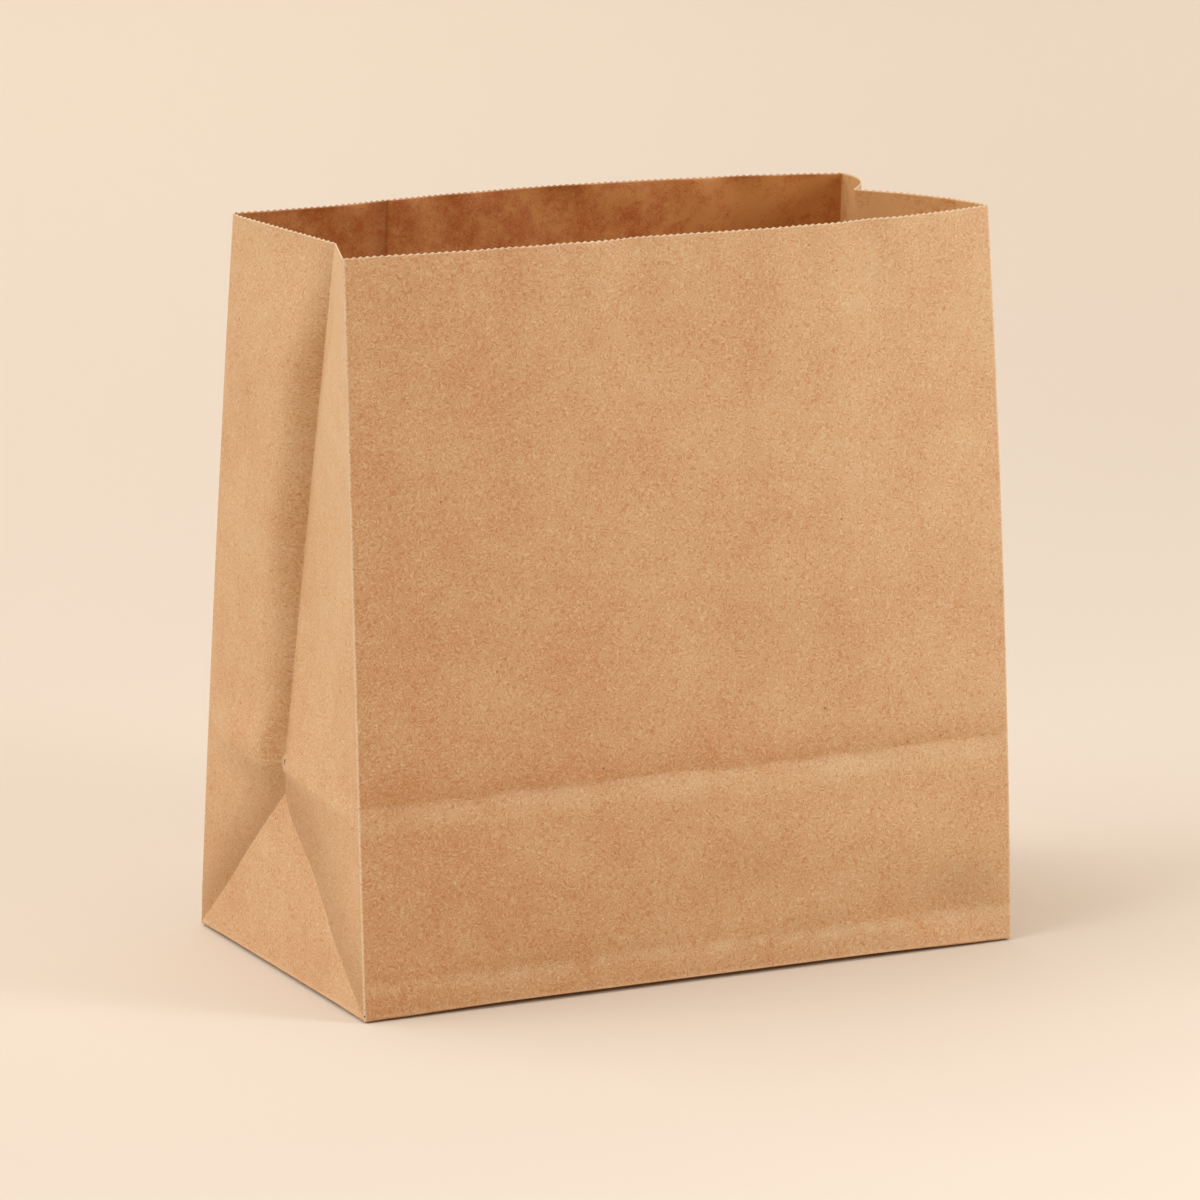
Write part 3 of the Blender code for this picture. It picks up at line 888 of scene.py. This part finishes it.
def kraftMaterial(name, inside):
    material = bpy.data.materials.new(name)
    material.use_nodes = True
    tree = material.node_tree
    shader = tree.nodes["Principled BSDF"]
    coordinates = tree.nodes.new("ShaderNodeUVMap")
    coordinates.uv_map = "paper"
    flat = Signal(tree, coordinates.outputs[0])
    place = PaperPlace(*flat.parts())
    u, v, inGusset = place.u, place.v, place.inGusset

    clouds = flat.noise(kraft["clouds"], 2.0, 0.5) - 0.5
    blotches = flat.noise(kraft["blotches"], 2.0, 0.55) - 0.5
    clumps = flat.noise(kraft["clumps"], 2.0, 0.6) - 0.5
    grain = flat.noise(kraft["grain"], 1.0, 0.5) - 0.5
    curls = paperFibres(flat, (0.0, 0.7, 0.2)) + paperFibres(flat, (0.31, 0.17, 0.5))
    cell = flat.make("ShaderNodeTexVoronoi", {"feature": "F1"},
                     {"Vector": flat, "Scale": kraft["flecks"], "Randomness": 1.0})
    chance = cell.make("ShaderNodeSeparateColor", {}, {0: Signal(tree, cell.output.node.outputs[1])})
    fleck = cell.ramp(*kraft["fleckSize"]) * chance.ramp(*kraft["fleckChance"])

    # one tone signal, 0 in the dark colour and 1 in the pale one, which also carries painted light and shade
    share = {key: kraft[key] + (kraftInside[key] if inside else 0.0)
             for key in ("clumpShare", "blotchShare", "cloudShare")}
    tone = 0.5 + curls * kraft["fibreShare"] + grain * kraft["grainShare"]
    tone = tone + clumps * share["clumpShare"] + blotches * share["blotchShare"]
    tone = tone + clouds * share["cloudShare"]
    if inside:
        # painted light on the right part of the back panel
        tone = tone + u.ramp(*kraftInside["rightPlace"], 0.0, kraftInside["rightPaintedLight"])
    else:
        # painted light and highlight on the outside
        tone = tone + paperPaintedLight(place)
    # painted light below the cross crease and painted shade above it, where the paper tilts towards and away
    # from the light
    overCrease = v - paper["crease"]
    creaseLightShade = (overCrease + kraft["bandDrop"]).abs().ramp(*kraft["bandReach"])
    overCreaseShade = overCrease.ramp(*kraft["overReach"]) * overCrease.ramp(-0.001, 0.002)
    creaseLightShade = (creaseLightShade * (0.7 + blotches) - overCreaseShade * 0.5) * kraft["creaseLightShadeShare"]
    # painted highlight along the hem crease
    hem = (v - kraft["hemHeight"]).abs().ramp(*kraft["hemReach"])
    hem = hem * (0.5 + blotches * 3.0) * kraft["hemHighlightShare"]
    tone = tone + (creaseLightShade + hem) * (1.0 - inGusset)

    # wear and painted highlight are broken up by a noise, in the folds more than along the corners
    corner, folds, cross = paperWearAndHighlight(place)
    broken = flat.moved((0.5, 0.9, 0.1)).noise(kraft["wearBreaks"], 2.0, 0.7)
    wearAndHighlight = corner * broken.ramp(*kraft["cornerBreaks"]) * kraft["cornerWear"][1]
    wearAndHighlight = wearAndHighlight.math("MAXIMUM", folds * broken.ramp(*kraft["foldBreaks"]) * kraft["foldWearAndHighlight"][1])
    _, everywhere, inFold = kraft["crossWearAndHighlight"]
    cross = cross * broken.ramp(*kraft["crossBreaks"]) * (everywhere + inGusset * inFold)
    wearAndHighlight = wearAndHighlight.math("MAXIMUM", cross)

    holes, holeRims = paperHoles(place)
    colour = flat.colour(kraft["dark"]).mixed(tone, kraft["pale"])
    if not inside:
        # painted shade in the gussets' folds and the front panel's dent
        colour = colour.mixed(paperPaintedShade(place), kraft["paintedFoldShade"])
    colour = colour.mixed(fleck * kraft["fleckShare"], kraft["fleck"])
    colour = colour.mixed(wearAndHighlight.math("MAXIMUM", holeRims * kraft["holeRimShare"]), kraft["wearAndHighlight"])
    # painted shade in the holes
    colour = colour.mixed(holes * kraft["holeShare"], kraft["holeShade"])
    if inside:
        # painted shade and light of the inside
        colour = insideLightAndShade(colour, place)
    distance = flat.make("ShaderNodeAttribute", {"attribute_name": "rimDistance"}, {}, out=2)
    # pale cut edge and painted highlight along the rim
    cut = (distance + (broken - 0.5) * 0.0005).ramp(*kraft["cutDepth"])
    colour = colour.mixed(cut * (kraftInside if inside else kraft)["cutShare"], kraft["cut"])
    tree.links.new(colour.output, shader.inputs["Base Color"])
    rough = kraft["roughness"] + grain * kraft["roughGrain"]
    tree.links.new(rough.output, shader.inputs["Roughness"])
    shader.inputs["Specular IOR Level"].default_value = 0.5

    height = grain + clumps * 2.0
    bump = flat.make("ShaderNodeBump", {}, {"Height": height, "Distance": kraft["bump"], "Strength": 1.0})
    tree.links.new(bump.output, shader.inputs["Normal"])
    return material


mesh.materials.append(kraftMaterial("kraft_paper", False))
# the inside's copy of the paper carries painted shade and light
mesh.materials.append(kraftMaterial("kraft_paper_inside_painted_shade", True))
wall.material_offset = 1
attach(bag, "root")
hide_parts("paper_bag")
print("kraft bag: paper material")

studio = {
    "floorColour": (0.735, 0.684, 0.612, 1),
    "farPaintedLight": 0.10,            # painted light: the sheet is a little paler far back and to the left
    "farPlace": (0.2, 3.0),
    "leftPaintedLight": 0.03,
    "leftPlace": (-0.4, 0.4),
    "floorStart": -7.0,         # in front of the bag, behind the camera
    "floorReach": 4.0,          # flat floor behind the bag, seen along the view
    "floorWidth": 12.0,
    "curve": 1.2,
    "wallHeight": 4.0,
    "yaw": 25.54,               # the sheet faces the camera
    "ambient": 0.49,
    "ambientColour": (1.0, 0.72, 0.48, 1),
    "backdrop": (0.880, 0.740, 0.600, 1),   # seen past the ends of the floor
    "suns": {                   # from which side, height in degrees, strength, width in degrees
        "overhead": (0, 90, 0.75, 45),
        "left": (180, 40, 1.07, 45),
        "behindLeft": (135, 40, 0.68, 45),
        "behind": (72, 40, 0.45, 45),
    },
    "nearPlace": (0.70, -0.80, 0.64),
    "nearTarget": (0, 0, 0.15),
    "nearSize": 0.4,
    "nearPower": 4.3,
}


def studioFloor():
    # seamless sheet: flat floor, a quarter circle behind, then upright
    yaw = math.radians(studio["yaw"])
    bend = np.linspace(0, math.pi / 2, 33)
    run = np.concatenate([[studio["floorStart"]], studio["floorReach"] + studio["curve"] * np.sin(bend),
                          [studio["floorReach"] + studio["curve"]]])
    rise = np.concatenate([[0.0], studio["curve"] * (1 - np.cos(bend)),
                           [studio["curve"] + studio["wallHeight"]]])
    side = np.array([-0.5, 0.5]) * studio["floorWidth"]
    x = side[None, :] * math.cos(yaw) + run[:, None] * math.sin(yaw)
    y = -side[None, :] * math.sin(yaw) + run[:, None] * math.cos(yaw)
    z = np.broadcast_to(rise[:, None], x.shape)
    points = np.stack([x, y, z], axis=-1).reshape(-1, 3)
    k = np.arange(len(run) - 1) * 2
    faces = np.stack([k, k + 1, k + 3, k + 2], axis=-1)
    shape = bpy.data.meshes.new("studio floor")
    shape.from_pydata(points.tolist(), [], faces.tolist())
    shape.shade_smooth()
    material = bpy.data.materials.new("studio floor")
    material.use_nodes = True
    tree = material.node_tree
    matt = tree.nodes.new("ShaderNodeBsdfDiffuse")
    flat = Signal(tree, tree.nodes.new("ShaderNodeTexCoord").outputs["Object"])
    x, y = flat.parts()
    # painted light on the floor: paler far back and to the left, darker to the right
    back = (x * math.sin(yaw) + y * math.cos(yaw)).ramp(*studio["farPlace"], 1.0, 1.0 + studio["farPaintedLight"])
    aside = x * math.cos(yaw) - y * math.sin(yaw)
    floorPaintedLight = back * aside.ramp(*studio["leftPlace"], 1.0 + studio["leftPaintedLight"], 1.0 - studio["leftPaintedLight"])
    tree.links.new(flat.colour(studio["floorColour"]).scaled(floorPaintedLight).output, matt.inputs["Color"])
    tree.links.new(matt.outputs[0], tree.nodes["Material Output"].inputs["Surface"])
    shape.materials.append(material)
    floor = bpy.data.objects.new("studio_floor", shape)
    bpy.context.scene.collection.objects.link(floor)
    return floor


def lampAt(lamp, place, target):
    thing = bpy.data.objects.new(lamp.name, lamp)
    thing.location = place
    thing.rotation_euler = (Vector(place) - Vector(target)).to_track_quat("Z", "Y").to_euler()
    bpy.context.scene.collection.objects.link(thing)


def studioLights():
    # wide soft sources overhead, from the left and from behind, and one near the front right
    for name, (side, height, strength, width) in studio["suns"].items():
        lamp = bpy.data.lights.new(name, "SUN")
        lamp.energy = strength
        lamp.angle = math.radians(width)
        turn, rise = math.radians(side), math.radians(height)
        place = (math.cos(turn) * math.cos(rise), math.sin(turn) * math.cos(rise), math.sin(rise))
        lampAt(lamp, place, (0, 0, 0))
    near = bpy.data.lights.new("near", "AREA")
    near.shape = "DISK"
    near.size = studio["nearSize"]
    near.energy = studio["nearPower"]
    lampAt(near, studio["nearPlace"], studio["nearTarget"])


def studioWorld():
    # faint even light, with the backdrop's colour where the camera looks past the floor
    world = bpy.data.worlds.new("studio")
    world.use_nodes = True
    tree = world.node_tree
    dim = tree.nodes["Background"]
    dim.inputs["Color"].default_value = studio["ambientColour"]
    dim.inputs["Strength"].default_value = studio["ambient"]
    seen = tree.nodes.new("ShaderNodeBackground")
    seen.inputs["Color"].default_value = studio["backdrop"]
    path = tree.nodes.new("ShaderNodeLightPath")
    either = tree.nodes.new("ShaderNodeMixShader")
    tree.links.new(path.outputs["Is Camera Ray"], either.inputs[0])
    tree.links.new(dim.outputs[0], either.inputs[1])
    tree.links.new(seen.outputs[0], either.inputs[2])
    tree.links.new(either.outputs[0], tree.nodes["World Output"].inputs["Surface"])
    bpy.context.scene.world = world


studioFloor()
studioLights()
studioWorld()
bpy.context.scene.view_settings.view_transform = "Standard"

view = {"place": (-1.264, -2.642, 0.786), "yaw": 25.54, "pitch": 12.295, "roll": -0.127, "lens": 209.25}


def photoCamera():
    # the axes of the camera from its yaw, pitch and roll
    yaw, pitch, roll = (math.radians(view[key]) for key in ("yaw", "pitch", "roll"))
    ahead = Vector((math.sin(yaw) * math.cos(pitch), math.cos(yaw) * math.cos(pitch), -math.sin(pitch)))
    right = Vector((math.cos(yaw), -math.sin(yaw), 0))
    above = right.cross(ahead)
    right, above = (math.cos(roll) * right + math.sin(roll) * above,
                    -math.sin(roll) * right + math.cos(roll) * above)
    lens = bpy.data.cameras.new("camera")
    lens.lens = view["lens"]
    lens.sensor_width = 36
    lens.clip_end = 60
    camera = bpy.data.objects.new("camera", lens)
    turn = Matrix((right, above, -ahead)).transposed().to_4x4()
    camera.matrix_world = Matrix.Translation(view["place"]) @ turn
    bpy.context.scene.collection.objects.link(camera)
    bpy.context.scene.camera = camera


photoCamera()
bpy.context.view_layer.update()
